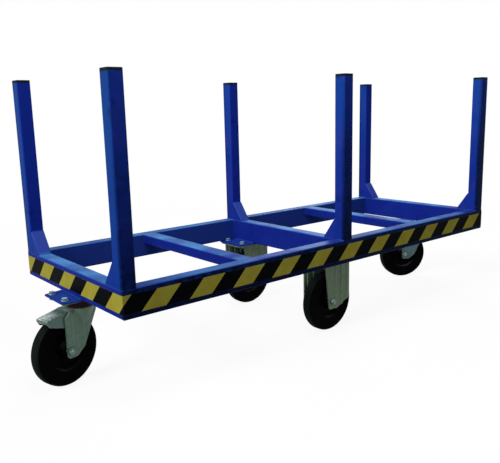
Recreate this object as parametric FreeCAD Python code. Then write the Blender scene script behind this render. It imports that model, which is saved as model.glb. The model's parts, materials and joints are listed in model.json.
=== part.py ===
import FreeCAD, Part
import math
import os

from FreeCAD import Vector

# A long-goods cart: a welded tube frame with six posts, carried on four castors set in a diamond.
# Millimetres. X runs along the cart, Y across it and Z up; the origin is on the floor under the middle.

# Frame tubes
frame_length = 2000.0
frame_width = 750.0
rail_height = 95.0
rail_width = 50.0
rail_wall = 3.0
rail_corner = 5.0
crossbar_width = 60.0
crossbar_height = 40.0
crossbar_wall = 3.0
crossbar_corner = 5.0

# Posts, their caps and their gussets
post_size = 50.0
post_height = 630.0
post_wall = 3.0
post_corner = 5.0
cap_head = 10.0
cap_edge = 2.5
cap_plug = 20.0
cap_plug_wall = 2.5
cap_clearance = 0.2
gusset_height = 80.0
gusset_depth = 58.0
gusset_sheet = 4.0
gusset_land = 4.0
gusset_bend = 5.0

# Warning tape round the outside of the frame
tape_height = 60.0
tape_thickness = 0.4

# Welded pads under the frame, one above each castor
pad_width = 170.0
pad_end_width = 142.0
pad_thickness = 5.0
pad_corner = 5.0
swivel_pad_length = 180.0
fixed_pad_length = 210.0
fixed_castor_inset = 115.0

# Castor mounting bolts
bolt_spacing_x = 140.0
bolt_spacing_y = 105.0
bolt_radius = 6.0
bolt_hole_clearance = 0.5
thread_clearance = 0.05
bolt_flats = 18.0
bolt_head = 7.5
bolt_nut = 7.0
bolt_end = 1.5
washer_radius = 12.0
washer_thickness = 2.5

# Castors
crown_clearance = 12.0
plate_thickness = 6.0
plate_width = 135.0
plate_corner = 10.0
swivel_plate_length = 165.0
fixed_plate_length = 200.0

# Wheels
wheel_radius = 125.0
tyre_width = 46.0
tyre_shoulder = 13.0
groove_inset = 8.5
groove_depth = 1.2
groove_radius = 1.5
tyre_bore = 80.0
tyre_seat_clearance = 0.1
rim_width = 40.0
rim_depth = 9.0
web_thickness = 12.0
hub_radius = 28.0
centre_draft = 4.0
centre_blend = 4.0
centre_edge = 1.5
hub_length = 55.0
bearing_radius = 16.0
bearing_length = 44.0
bearing_seat_clearance = 0.05
bearing_running_clearance = 0.05

# Axles
axle_radius = 6.0
axle_flats = 19.0
axle_head = 7.5
axle_nut = 10.0
axle_end = 3.0
axle_hole_clearance = 0.1
sleeve_radius = 10.0
sleeve_end_clearance = 0.1

# Swivel forks
fork_gap = 58.0
fork_sheet = 6.0
fork_bend = 10.0
fork_trail = 71.0
swivel_gap = 26.0
crown_radius = 57.0
crown_rim_bend = 4.0
crown_apron = 22.0
crown_back = 68.0
flare_height = 60.0
leg_back = 14.0
leg_back_corner = 12.0
leg_shoulder = 25.0
leg_knee = 5.0
leg_drop = 25.0
leg_front = 58.0
leg_corner = 20.0
left_swivel_angle = 14.0
right_swivel_angle = -27.0

# Swivel heads
kingpin_radius = 10.0
kingpin_head_radius = 18.0
kingpin_flats = 30.0
kingpin_nut = 10.0
kingpin_end = 2.5
kingpin_seat_clearance = 0.1
kingpin_running_clearance = 0.08
seal_radius = 50.0
seal_wall = 4.0
swivel_running_clearance = 0.3
race_outer = 42.0
race_inner = 14.0
race_washer = 7.0
race_groove = 3.0

# Fixed brackets
bracket_sheet = 5.0
bracket_back = 24.0
bracket_back_top = 43.0
bracket_front = 102.0
bracket_drop = 31.0
bracket_toe = 20.0
bracket_knee = 5.0
bracket_corner = 8.0
bracket_blend = 30.0
bracket_rib_bend = 1.0
bracket_rib_depth = 4.0
bracket_rib_width = 14.0
bracket_rib_pitch = 34.0
bracket_rib_count = 3
bracket_first_rib = 20.0

# Brake on the left castor
pedal_sheet = 3.0
pedal_side_clearance = 1.0
pedal_reach = 152.0
pedal_tip_drop = 16.0
pedal_slope = 9.6
pedal_end_gap = 3.0
pedal_lip = 9.0
pedal_ear = 9.0
pedal_top_gap = 2.0
pedal_corner = 3.0
pedal_blend = 6.0
pedal_wall_depth = 24.0
pedal_wall_foot = 48.0
pedal_wall_front = 71.0
tread_rib_height = 2.0
tread_rib_width = 5.0
tread_rib_bend = 1.0
tread_rib_pitch = 14.0
tread_rib_count = 3
brake_pivot_back = 50.0
brake_pivot_drop = 14.0
brake_pin_radius = 4.0
brake_pin_head = 2.0
brake_pin_head_radius = 6.0
brake_pin_clearance = 0.05
brake_travel = 5.0
shoe_length = 32.0
shoe_width = 40.0
shoe_middle = 102.0
shoe_gap = 0.4

# Heights and places that follow from the sizes above
axle_height = wheel_radius
crown_low = 2 * wheel_radius + crown_clearance
crown_top = crown_low + fork_sheet
plate_bottom = crown_top + swivel_gap
pad_bottom = plate_bottom + plate_thickness
rail_bottom = pad_bottom + pad_thickness
deck = rail_bottom + rail_height
brake_pivot_height = crown_top - brake_pivot_drop
pedal_tip_height = crown_top - pedal_tip_drop
pedal_tread_end = crown_back + pedal_end_gap
swivel_x = frame_length / 2 - rail_width / 2
fixed_y = frame_width / 2 - fixed_castor_inset
crossbar_x = (frame_length / 2 - rail_width + rail_width / 2) / 2

UP = Vector(0, 0, 1)
ACROSS = Vector(0, 1, 0)
ALONG = Vector(1, 0, 0)


# Building blocks

def level(height):
    """Places outline points in a level plane."""
    return lambda u, v: Vector(u, v, height)


def side(y):
    """Places outline points (x, z) in an upright plane along the cart."""
    return lambda u, v: Vector(u, y, v)


def end(x):
    """Places outline points (y, z) in an upright plane across the cart."""
    return lambda u, v: Vector(x, u, v)


def outline(corners, place):
    """Closed wire through (u, v, radius) corners; a radius of 0 leaves the corner sharp."""
    points = [Vector(u, v, 0) for u, v, radius in corners]
    starts = []
    arcs = []
    for index, corner in enumerate(corners):
        here = points[index]
        before = (points[index - 1] - here).normalize()
        after = (points[(index + 1) % len(points)] - here).normalize()
        radius = corner[2]
        half = before.getAngle(after) / 2
        reach = radius / math.tan(half)
        first = here + before * reach
        last = here + after * reach
        starts.append((first, last))
        if radius > 0:
            bisector = (before + after).normalize()
            middle = here + bisector * (radius / math.sin(half) - radius)
            arcs.append(Part.Arc(*[place(p.x, p.y) for p in (first, middle, last)]).toShape())
    edges = list(arcs)
    for index, (first, last) in enumerate(starts):
        following = starts[(index + 1) % len(starts)][0]
        if last.distanceToPoint(following) > 1e-6:
            edges.append(Part.makeLine(place(last.x, last.y), place(following.x, following.y)))
    return Part.Wire(Part.__sortEdges__(edges))


def prism(corners, place, direction):
    """Solid swept from a rounded outline."""
    return Part.Face(outline(corners, place)).extrude(direction)


def rectangle(length, width, radius):
    """Corners of a rectangle about the origin."""
    u = length / 2
    v = width / 2
    return [(-u, -v, radius), (u, -v, radius), (u, v, radius), (-u, v, radius)]


def tube(length, width, corner, wall, place, direction):
    """Open-ended rectangular tube with rounded corners."""
    outer = prism(rectangle(length, width, corner), place, direction)
    inner_corner = max(corner - wall, 0.0)
    inner = prism(rectangle(length - 2 * wall, width - 2 * wall, inner_corner), place, direction)
    return outer.cut(inner)


def rod(radius, length, foot, direction):
    """Plain cylinder."""
    return Part.makeCylinder(radius, length, foot, direction)


def ring(outer, inner, length, foot, direction):
    """Plain cylinder with a bore."""
    return rod(outer, length, foot, direction).cut(rod(inner, length, foot, direction))


def hexagon(flats, length, foot, direction):
    """Hexagonal prism, as a nut or a bolt head."""
    radius = flats / math.sqrt(3)
    turns = [math.radians(60 * step) for step in range(6)]
    corners = [Vector(radius * math.cos(turn), radius * math.sin(turn), 0) for turn in turns]
    face = Part.Face(Part.makePolygon(corners + corners[:1]))
    solid = face.extrude(UP * length)
    solid.Placement = FreeCAD.Placement(foot, FreeCAD.Rotation(UP, direction))
    return solid


def turned(profile):
    """Solid of revolution about the axle from (radius, offset, rounding) points."""
    face = Part.Face(outline([(offset, radius, r) for radius, offset, r in profile], end(0)))
    return face.revolve(Vector(0, 0, 0), ACROSS, 360)


def turned_upright(profile):
    """Solid of revolution about the upright middle line from (radius, height, rounding) points."""
    return Part.Face(outline(profile, side(0))).revolve(Vector(0, 0, 0), UP, 360)


def moved(shape, offset):
    """Copy of a shape, shifted."""
    copy = shape.copy()
    copy.translate(offset)
    return copy


def spun(shape, angle):
    """Copy of a shape, turned about the upright line through the origin."""
    copy = shape.copy()
    copy.rotate(Vector(0, 0, 0), UP, angle)
    return copy


def together(shapes):
    """Separate solids kept in one piece list."""
    return Part.makeCompound(shapes)


# Frame

def side_rail(hand):
    """Long rail with mitred ends; hand is -1 at the front and 1 at the back."""
    centre_z = rail_bottom + rail_height / 2
    bar = tube(rail_width, rail_height, rail_corner, rail_wall, end(0), ALONG * frame_length)
    bar.translate(Vector(-frame_length / 2, hand * (frame_width - rail_width) / 2, centre_z))
    outer = frame_length / 2
    inner = outer - rail_width
    edge = hand * frame_width / 2
    lip = hand * (frame_width / 2 - rail_width)
    plan = [(-outer, edge, 0), (outer, edge, 0), (inner, lip, 0), (-inner, lip, 0)]
    return bar.common(prism(plan, level(rail_bottom), UP * rail_height))


def end_rail(hand):
    """Short rail with mitred ends; hand is -1 at the left and 1 at the right."""
    centre_z = rail_bottom + rail_height / 2
    bar = tube(rail_width, rail_height, rail_corner, rail_wall, side(0), ACROSS * frame_width)
    bar.translate(Vector(hand * (frame_length - rail_width) / 2, -frame_width / 2, centre_z))
    outer = frame_width / 2
    inner = outer - rail_width
    edge = hand * frame_length / 2
    lip = hand * (frame_length / 2 - rail_width)
    plan = [(edge, -outer, 0), (edge, outer, 0), (lip, inner, 0), (lip, -inner, 0)]
    return bar.common(prism(plan, level(rail_bottom), UP * rail_height))


def crossbar(x, width, height, wall, corner):
    """Tube between the long rails, its top flush with theirs."""
    span = frame_width - 2 * rail_width
    bar = tube(width, height, corner, wall, side(0), ACROSS * span)
    bar.translate(Vector(x, -span / 2, deck - height / 2))
    return bar


def post(x, y):
    """Upright tube standing on the rails."""
    bar = tube(post_size, post_size, post_corner, post_wall, level(0), UP * post_height)
    bar.translate(Vector(x, y, deck))
    return bar


def post_cap(x, y):
    """Plastic plug with a head as wide as the post, hollow below."""
    top = deck + post_height
    head = prism(rectangle(post_size, post_size, post_corner), level(top), UP * cap_head)
    rim = [edge for edge in head.Edges if edge.BoundBox.ZMin > top + cap_head - 0.01]
    head = head.makeFillet(cap_edge, rim)
    bore = post_size - 2 * post_wall - 2 * cap_clearance
    bore_corner = max(post_corner - post_wall, 0.0)
    plug = prism(rectangle(bore, bore, bore_corner), level(top - cap_plug), UP * cap_plug)
    hollow = bore - 2 * cap_plug_wall
    plug = plug.cut(prism(rectangle(hollow, hollow, 0), level(top - cap_plug), UP * cap_plug))
    cap = head.fuse(plug).removeSplitter()
    cap.translate(Vector(x, y, 0))
    return cap


def gusset(x, hand):
    """Folded wedge between a post and the deck tube beside it, open where it is welded on."""
    rise = gusset_height - gusset_land
    run = gusset_depth - gusset_land
    slant = math.hypot(rise, run)
    wedge = [(0, 0, 0), (gusset_depth, 0, 0), (gusset_depth, gusset_land, 0),
             (gusset_land, gusset_height, 0), (0, gusset_height, 0)]
    back = gusset_sheet * slant / rise
    under = gusset_sheet * slant / run
    foot = gusset_depth + gusset_land * run / rise - back
    peak = gusset_height + gusset_land * rise / run - under
    hollow = [(0, 0, 0), (foot, 0, 0), (0, peak, 0)]
    solid = prism(wedge, end(-post_size / 2), ALONG * post_size)
    folds = [edge for edge in solid.Edges if abs(edge.Length - slant) < 0.01]
    solid = solid.makeFillet(gusset_bend, folds)
    width = post_size - 2 * gusset_sheet
    solid = solid.cut(prism(hollow, end(-width / 2), ALONG * width))
    if hand > 0:
        solid.rotate(Vector(0, 0, 0), UP, 180)
    face = hand * (frame_width / 2 - post_size)
    solid.translate(Vector(x, face, deck))
    return solid


def warning_tape():
    """One strip round the outer faces of the rails."""
    low = rail_bottom + (rail_height - tape_height) / 2
    over = 2 * tape_thickness
    outer = prism(rectangle(frame_length + over, frame_width + over, 0), level(low), UP * tape_height)
    inner = prism(rectangle(frame_length, frame_width, 0), level(low), UP * tape_height)
    return outer.cut(inner)


# Castor pads and bolts

def bolt_places():
    """The four bolt places of one castor, about its middle."""
    u = bolt_spacing_x / 2
    v = bolt_spacing_y / 2
    return [(-u, -v), (u, -v), (u, v), (-u, v)]


def bolt_holes(bottom, thickness):
    """Clearance holes through a plate."""
    radius = bolt_radius + bolt_hole_clearance
    return together([rod(radius, thickness, Vector(u, v, bottom), UP) for u, v in bolt_places()])


def castor_pad(x, y, length):
    """Plate welded under a frame tube, widest at the tube and drawn in towards its ends."""
    u = length / 2
    w = pad_width / 2
    v = pad_end_width / 2
    knee = rail_width / 2
    corners = [(-u, -v, pad_corner), (-knee, -w, pad_corner), (knee, -w, pad_corner), (u, -v, pad_corner),
               (u, v, pad_corner), (knee, w, pad_corner), (-knee, w, pad_corner), (-u, v, pad_corner)]
    plate = prism(corners, level(pad_bottom), UP * pad_thickness)
    plate = plate.cut(bolt_holes(pad_bottom, pad_thickness))
    plate.translate(Vector(x, y, 0))
    return plate


def castor_bolt(u, v):
    """Bolt put in from above with a washer under its head, and its nut below the castor's plate."""
    seat = Vector(u, v, pad_bottom + pad_thickness)
    hole = bolt_radius + bolt_hole_clearance
    washer = ring(washer_radius, hole, washer_thickness, seat, UP)
    head_foot = seat + UP * washer_thickness
    shank = washer_thickness + pad_thickness + plate_thickness + bolt_nut + bolt_end
    bolt = hexagon(bolt_flats, bolt_head, head_foot, UP)
    bolt = bolt.fuse(rod(bolt_radius, shank, head_foot - UP * shank, UP))
    nut_foot = Vector(u, v, plate_bottom - bolt_nut)
    thread = bolt_radius + thread_clearance
    nut = hexagon(bolt_flats, bolt_nut, nut_foot, UP).cut(rod(thread, bolt_nut, nut_foot, UP))
    return [bolt, washer, nut]


# Wheels, about an axle through the origin along Y

def tyre():
    """Solid rubber tyre with round shoulders, a slightly drawn-in side and a groove at each shoulder."""
    half = tyre_width / 2
    seat = rim_width / 2
    bore = tyre_bore + tyre_seat_clearance
    profile = [(bore, -seat, 0), (wheel_radius, -half, tyre_shoulder),
               (wheel_radius, half, tyre_shoulder), (bore, seat, 0)]
    solid = turned(profile)
    for hand in (-1, 1):
        middle = ACROSS * hand * (half - groove_inset)
        solid = solid.cut(Part.makeTorus(wheel_radius - groove_depth, groove_radius, middle, ACROSS))
    return solid


def wheel_centre():
    """Moulded centre: hub, web and rim in one."""
    rim = rim_width / 2
    web = web_thickness / 2
    hub = hub_length / 2
    lip = tyre_bore - rim_depth
    low = hub_radius + centre_draft
    high = lip - centre_draft
    profile = [(bearing_radius, -hub, 0), (hub_radius, -hub, centre_edge), (low, -web, centre_blend),
               (high, -web, centre_blend), (lip, -rim, centre_edge), (tyre_bore, -rim, 0),
               (tyre_bore, rim, 0), (lip, rim, centre_edge), (high, web, centre_blend),
               (low, web, centre_blend), (hub_radius, hub, centre_edge), (bearing_radius, hub, 0)]
    return turned(profile)


def wheel_bearing():
    """Caged roller bearing pressed into the hub."""
    bore = sleeve_radius + bearing_running_clearance
    outer = bearing_radius - bearing_seat_clearance
    return ring(outer, bore, bearing_length, Vector(0, -bearing_length / 2, 0), ACROSS)


def axle_sleeve():
    """Tube clamped between the legs; the bearing runs on it."""
    length = fork_gap - 2 * sleeve_end_clearance
    bore = axle_radius + axle_hole_clearance
    return ring(sleeve_radius, bore, length, Vector(0, -length / 2, 0), ACROSS)


def axle_bolt(grip):
    """Axle bolt with its nut on the near side; grip is the width over the legs."""
    front = -grip / 2
    shank = grip + axle_nut + axle_end
    foot = Vector(0, front - axle_nut - axle_end, 0)
    bolt = rod(axle_radius, shank, foot, ACROSS)
    bolt = bolt.fuse(hexagon(axle_flats, axle_head, Vector(0, grip / 2, 0), ACROSS))
    nut_foot = Vector(0, front - axle_nut, 0)
    thread = axle_radius + thread_clearance
    nut = hexagon(axle_flats, axle_nut, nut_foot, ACROSS).cut(rod(thread, axle_nut, nut_foot, ACROSS))
    return together([bolt, nut])


# Swivel castor, about its kingpin, with the wheel trailing towards -X

def swivel_plate():
    """Top plate with a countersink for the kingpin."""
    corners = rectangle(swivel_plate_length, plate_width, plate_corner)
    plate = prism(corners, level(plate_bottom), UP * plate_thickness)
    plate = plate.cut(bolt_holes(plate_bottom, plate_thickness))
    foot = Vector(0, 0, plate_bottom)
    return plate.cut(kingpin_head(foot, kingpin_seat_clearance))


def kingpin_head(foot, clearance):
    """Countersunk head of the kingpin, or the seat for it."""
    small = kingpin_radius + clearance
    large = kingpin_head_radius + clearance
    return Part.makeCone(small, large, plate_thickness, foot, UP)


def kingpin():
    """Countersunk pin with its nut under the fork's crown."""
    nut_top = crown_low - swivel_running_clearance
    low = nut_top - kingpin_nut - kingpin_end
    pin = rod(kingpin_radius, plate_bottom - low, Vector(0, 0, low), UP)
    pin = pin.fuse(kingpin_head(Vector(0, 0, plate_bottom), 0.0))
    nut_foot = Vector(0, 0, nut_top - kingpin_nut)
    thread = kingpin_radius + thread_clearance
    nut = hexagon(kingpin_flats, kingpin_nut, nut_foot, UP).cut(rod(thread, kingpin_nut, nut_foot, UP))
    return together([pin, nut])


def swivel_bearing():
    """Thrust bearing: two race washers with the ball row between them."""
    low = crown_top + swivel_running_clearance
    waist = race_outer - race_groove
    profile = ring(race_outer, race_inner, plate_bottom - low, Vector(0, 0, low), UP)
    gap = plate_bottom - low - 2 * race_washer
    groove = ring(race_outer, waist, gap, Vector(0, 0, low + race_washer), UP)
    return profile.cut(groove)


def dust_seal():
    """Ring that closes the gap between the crown and the top plate."""
    height = swivel_gap - swivel_running_clearance
    return ring(seal_radius, seal_radius - seal_wall, height, Vector(0, 0, crown_top), UP)


def leg_front_edge(height):
    """Place of the legs' slanted front edge at a height."""
    low = -fork_trail + leg_front
    return low + (crown_radius - low) * (height - axle_height) / (crown_top - axle_height)


def flare_space():
    """Hollow under the round crown."""
    foot = crown_top - flare_height
    flare = (crown_radius - fork_gap / 2 - fork_sheet) / flare_height
    top = crown_radius - fork_sheet * (1 + flare)
    return turned_upright([(0, foot, 0), (fork_gap / 2, foot, 0), (top, crown_low, 0), (0, crown_low, 0)])


def fork_crown():
    """Round crown with a skirt that flares out from the legs, open behind for the wheel and the pedal."""
    foot = crown_top - flare_height
    apron = crown_top - crown_apron
    reach = crown_radius
    bell = turned_upright([(0, foot, 0), (fork_gap / 2 + fork_sheet, foot, 0),
                           (crown_radius, crown_top, crown_rim_bend), (0, crown_top, 0)])
    skirt = [(-reach, foot, 0), (leg_front_edge(foot), foot, 0), (leg_front_edge(apron), apron, 0),
             (reach, apron, 0), (reach, crown_top, 0), (-reach, crown_top, 0)]
    bell = bell.cut(flare_space()).common(prism(skirt, side(-reach), ACROSS * 2 * reach))
    half = fork_gap / 2
    opening = [(-reach, -half, 0), (0, -half, 0), (0, half, 0), (-reach, half, 0)]
    return bell.cut(prism(opening, level(foot), UP * (crown_low - foot)))


def fork_legs():
    """Channel over the wheel, cut to the legs' outline and kept inside the round crown in front."""
    half = fork_gap / 2
    outer = half + fork_sheet
    low = axle_height - leg_drop
    back = -fork_trail - leg_back
    inner_bend = max(fork_bend - fork_sheet, 0.0)
    channel = [(-outer, low, 0), (outer, low, 0),
               (outer, crown_top, fork_bend), (-outer, crown_top, fork_bend)]
    space = [(-half, low, 0), (half, low, 0),
             (half, crown_low, inner_bend), (-half, crown_low, inner_bend)]
    run = ALONG * (crown_radius - back)
    legs = prism(channel, end(back), run).cut(prism(space, end(back), run))
    leg = [(back, low, leg_back_corner), (-fork_trail + leg_drop, low, leg_corner),
           (leg_front_edge(axle_height), axle_height, leg_corner), (crown_radius, crown_top, 0),
           (-crown_back, crown_top, 0), (-crown_back, crown_top - fork_bend, 0),
           (back, crown_top - leg_shoulder, leg_knee)]
    legs = legs.common(prism(leg, side(-outer), ACROSS * 2 * outer))
    plan = [(back, -crown_radius, 0), (crown_radius, -crown_radius, crown_radius),
            (crown_radius, crown_radius, crown_radius), (back, crown_radius, 0)]
    legs = legs.common(prism(plan, level(low), UP * (crown_top - low)))
    return legs.cut(flare_space())


def fork(with_brake):
    """Pressed fork: two legs that flare up into a round crown."""
    body = fork_legs().fuse(fork_crown())
    bore = kingpin_radius + kingpin_running_clearance
    body = body.cut(rod(bore, fork_sheet, Vector(0, 0, crown_low), UP))
    hole = axle_radius + axle_hole_clearance
    width = fork_gap + 2 * fork_sheet
    body = body.cut(rod(hole, width, Vector(-fork_trail, -width / 2, axle_height), ACROSS))
    if with_brake:
        pin = brake_pin_radius + brake_pin_clearance
        foot = Vector(-brake_pivot_back, -width / 2, brake_pivot_height)
        body = body.cut(rod(pin, width, foot, ACROSS))
    return body.removeSplitter()


# Brake, in the same place as the swivel castor

def tread_height(back):
    """Height of the pedal's tread at a distance behind the kingpin."""
    return pedal_tip_height + (pedal_reach - back) * math.tan(math.radians(pedal_slope))


def brake_pedal():
    """Channel-shaped lever that straddles the tyre, with a ribbed tread and a turned-down lip."""
    half = fork_gap / 2 - pedal_side_clearance
    tip = tread_height(pedal_reach)
    crest = tread_height(pedal_tread_end)
    ear_top = crown_low - pedal_top_gap
    ear_front = -brake_pivot_back + pedal_ear
    wall = [(-pedal_reach, tip, pedal_corner), (-pedal_reach, tip - pedal_lip, pedal_corner),
            (-pedal_reach + pedal_lip, tip - pedal_wall_depth, pedal_corner),
            (-pedal_wall_front, brake_pivot_height - pedal_wall_foot, pedal_blend),
            (ear_front, brake_pivot_height - pedal_ear, pedal_blend),
            (ear_front, ear_top, pedal_blend), (-pedal_tread_end, ear_top, 0),
            (-pedal_tread_end, crest, 0)]
    lever = prism(wall, side(-half), ACROSS * 2 * half)
    drop = pedal_sheet / math.cos(math.radians(pedal_slope))
    inside = half - pedal_sheet
    low = brake_pivot_height - pedal_wall_foot - pedal_ear
    reach = pedal_reach - pedal_sheet
    under = [(-reach, low, 0), (0, low, 0), (0, tread_height(0) - drop, 0),
             (-reach, tread_height(reach) - drop, 0)]
    lever = lever.cut(prism(under, side(-inside), ACROSS * 2 * inside))
    open_top = [(-pedal_tread_end, low, 0), (0, low, 0),
                (0, crown_top, 0), (-pedal_tread_end, crown_top, 0)]
    lever = lever.cut(prism(open_top, side(-inside), ACROSS * 2 * inside))
    for step in range(tread_rib_count):
        back = pedal_reach - tread_rib_pitch * (step + 0.5)
        lever = lever.fuse(tread_rib(back, inside))
    hole = brake_pin_radius + brake_pin_clearance
    foot = Vector(-brake_pivot_back, -half, brake_pivot_height)
    lever = lever.cut(rod(hole, 2 * half, foot, ACROSS))
    return lever.removeSplitter()


def tread_rib(back, half_length):
    """Raised grip rib across the tread."""
    u = tread_rib_width / 2
    rise = tread_rib_height
    here = tread_height(back)
    slope = math.tan(math.radians(pedal_slope))
    rib = [(-back - u, here - u * slope, 0), (-back + u, here + u * slope, 0),
           (-back + u / 2, here + rise, tread_rib_bend), (-back - u / 2, here + rise, tread_rib_bend)]
    return prism(rib, side(-half_length), ACROSS * 2 * half_length)


def brake_shoe():
    """Block under the tread, hollowed to the tyre as it lies when the pedal is down."""
    drop = pedal_sheet / math.cos(math.radians(pedal_slope))
    near = shoe_middle - shoe_length / 2
    far = shoe_middle + shoe_length / 2
    low = axle_height + wheel_radius - shoe_length
    block = [(-far, low, 0), (-near, low, 0), (-near, tread_height(near) - drop, 0),
             (-far, tread_height(far) - drop, 0)]
    shoe = prism(block, side(-shoe_width / 2), ACROSS * shoe_width)
    reach = wheel_radius + shoe_gap
    foot = Vector(-fork_trail, -shoe_width, axle_height)
    tyre_space = rod(reach, 2 * shoe_width, foot, ACROSS)
    pivot = Vector(-brake_pivot_back, 0, brake_pivot_height)
    tyre_space.rotate(pivot, ACROSS, brake_travel)
    return shoe.cut(tyre_space)


def brake_pin():
    """Pivot pin through both legs, headed at both ends."""
    width = fork_gap + 2 * fork_sheet
    foot = Vector(-brake_pivot_back, -width / 2, brake_pivot_height)
    pin = rod(brake_pin_radius, width, foot, ACROSS)
    pin = pin.fuse(rod(brake_pin_head_radius, brake_pin_head, foot - ACROSS * brake_pin_head, ACROSS))
    return pin.fuse(rod(brake_pin_head_radius, brake_pin_head, foot + ACROSS * width, ACROSS))


# Fixed castor, about the middle of its top plate

def bracket_leg():
    """Pressed leg on the near side: a ribbed sheet cut to the leg's outline."""
    inner = -fork_gap / 2
    outer = inner - bracket_sheet
    ribs = [bracket_first_rib + bracket_rib_pitch * step for step in range(bracket_rib_count)]
    slope = bracket_rib_width / 4
    half = bracket_rib_width / 2
    wave = []
    for rib in ribs:
        wave += [(rib - half, 0.0), (rib - half + slope, bracket_rib_depth),
                 (rib + half - slope, bracket_rib_depth), (rib + half, 0.0)]
    near = [(-bracket_back_top, outer, 0)] + [(x, outer - rise, bracket_rib_bend) for x, rise in wave]
    near += [(bracket_front, outer, 0)]
    far = [(bracket_front, inner, 0)] + [(x, inner - rise, bracket_rib_bend) for x, rise in reversed(wave)]
    far += [(-bracket_back_top, inner, 0)]
    low = axle_height - bracket_drop
    sheet = prism(near + far, level(low), UP * (plate_bottom - low))
    leg = [(-bracket_toe, low, bracket_corner), (bracket_drop, low, bracket_blend),
           (bracket_front, axle_height + bracket_knee, bracket_corner), (bracket_front, plate_bottom, 0),
           (-bracket_back_top, plate_bottom, 0), (-bracket_back, axle_height, bracket_blend)]
    depth = bracket_sheet + bracket_rib_depth
    return sheet.common(prism(leg, side(inner - depth), ACROSS * depth))


def fixed_bracket():
    """Top plate with two like legs, one turned half round from the other."""
    corners = rectangle(fixed_plate_length, plate_width, plate_corner)
    plate = prism(corners, level(plate_bottom), UP * plate_thickness)
    plate = plate.cut(bolt_holes(plate_bottom, plate_thickness))
    leg = bracket_leg()
    body = plate.fuse([leg, spun(leg, 180)])
    width = fork_gap + 2 * bracket_sheet
    hole = axle_radius + axle_hole_clearance
    body = body.cut(rod(hole, width, Vector(0, -width / 2, axle_height), ACROSS))
    return body.removeSplitter()


# Assembly

def build_frame():
    """Rails, crossbars, posts, caps, gussets and tape."""
    pieces = {}
    pieces["side_rail_front"] = side_rail(-1)
    pieces["side_rail_back"] = side_rail(1)
    pieces["end_rail_left"] = end_rail(-1)
    pieces["end_rail_right"] = end_rail(1)
    pieces["center_crossbar"] = crossbar(0, rail_width, rail_height, rail_wall, rail_corner)
    for hand, name in ((-1, "left"), (1, "right")):
        pieces["crossbar_" + name] = crossbar(hand * crossbar_x, crossbar_width, crossbar_height,
                                              crossbar_wall, crossbar_corner)
    caps = []
    for hand, row in ((-1, "front"), (1, "back")):
        y = hand * (frame_width - post_size) / 2
        for step, place in ((-1, "left"), (0, "mid"), (1, "right")):
            x = step * (frame_length - post_size) / 2
            pieces["post_" + row + "_" + place] = post(x, y)
            pieces["gusset_" + row + "_" + place] = gusset(x, hand)
            caps.append(post_cap(x, y))
    pieces["post_caps"] = together(caps)
    pieces["hazard_tape"] = warning_tape()
    return pieces


def build_wheel(name, centre, angle):
    """Tyre, centre and bearing of one wheel."""
    parts = {"tyre_": tyre(), "wheel_centre_": wheel_centre(), "wheel_bearing_": wheel_bearing()}
    return {key + name: moved(spun(shape, angle), centre) for key, shape in parts.items()}


def build_swivel_castor(name, x, angle, with_brake):
    """Swivel castor at one end of the cart."""
    middle = Vector(x, 0, 0)
    pieces = {"swivel_plate_" + name: moved(swivel_plate(), middle),
              "kingpin_" + name: moved(kingpin(), middle)}
    axle = Vector(-fork_trail, 0, axle_height)
    turning = {"dust_seal_": dust_seal(), "fork_": fork(with_brake),
               "axle_sleeve_": moved(axle_sleeve(), axle),
               "axle_bolt_": moved(axle_bolt(fork_gap + 2 * fork_sheet), axle)}
    for key, shape in turning.items():
        pieces[key + name] = moved(spun(shape, angle), middle)
    if with_brake:
        brake = {"brake_pedal": brake_pedal(), "brake_shoe": brake_shoe(), "brake_pin": brake_pin()}
        for key, shape in brake.items():
            pieces[key] = moved(spun(shape, angle), middle)
    turn = math.radians(angle)
    centre = middle + Vector(-fork_trail * math.cos(turn), -fork_trail * math.sin(turn), axle_height)
    pieces.update(build_wheel(name, centre, angle))
    return pieces


def build_fixed_castor(name, y):
    """Fixed castor under one end of the middle crossbar."""
    middle = Vector(0, y, 0)
    centre = Vector(0, y, axle_height)
    pieces = {"fixed_bracket_" + name: moved(fixed_bracket(), middle)}
    pieces["axle_sleeve_" + name] = moved(axle_sleeve(), centre)
    pieces["axle_bolt_" + name] = moved(axle_bolt(fork_gap + 2 * bracket_sheet), centre)
    pieces.update(build_wheel(name, centre, 0))
    return pieces


def build_castors():
    """Pads, bolts and the four castors."""
    pieces = {}
    pieces["castor_pad_left"] = castor_pad(-swivel_x, 0, swivel_pad_length)
    pieces["castor_pad_right"] = castor_pad(swivel_x, 0, swivel_pad_length)
    pieces["castor_pad_front"] = castor_pad(0, -fixed_y, fixed_pad_length)
    pieces["castor_pad_back"] = castor_pad(0, fixed_y, fixed_pad_length)
    bolts = []
    for x, y in ((-swivel_x, 0), (swivel_x, 0), (0, -fixed_y), (0, fixed_y)):
        for u, v in bolt_places():
            bolts += castor_bolt(x + u, y + v)
    pieces["castor_bolts"] = together(bolts)
    races = [moved(swivel_bearing(), Vector(x, 0, 0)) for x in (-swivel_x, swivel_x)]
    pieces["swivel_bearings"] = together(races)
    pieces.update(build_swivel_castor("left", -swivel_x, left_swivel_angle, True))
    pieces.update(build_swivel_castor("right", swivel_x, right_swivel_angle, False))
    pieces.update(build_fixed_castor("front", -fixed_y))
    pieces.update(build_fixed_castor("back", fixed_y))
    return pieces


def main():
    """Writes one file for each piece."""
    os.makedirs("parts", exist_ok=True)
    pieces = build_frame()
    pieces.update(build_castors())
    for name, shape in pieces.items():
        shape.exportStep(os.path.join("parts", name + ".step"))


main()
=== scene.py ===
import json
import math

import bmesh
import bpy
from mathutils import Matrix, Vector


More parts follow.
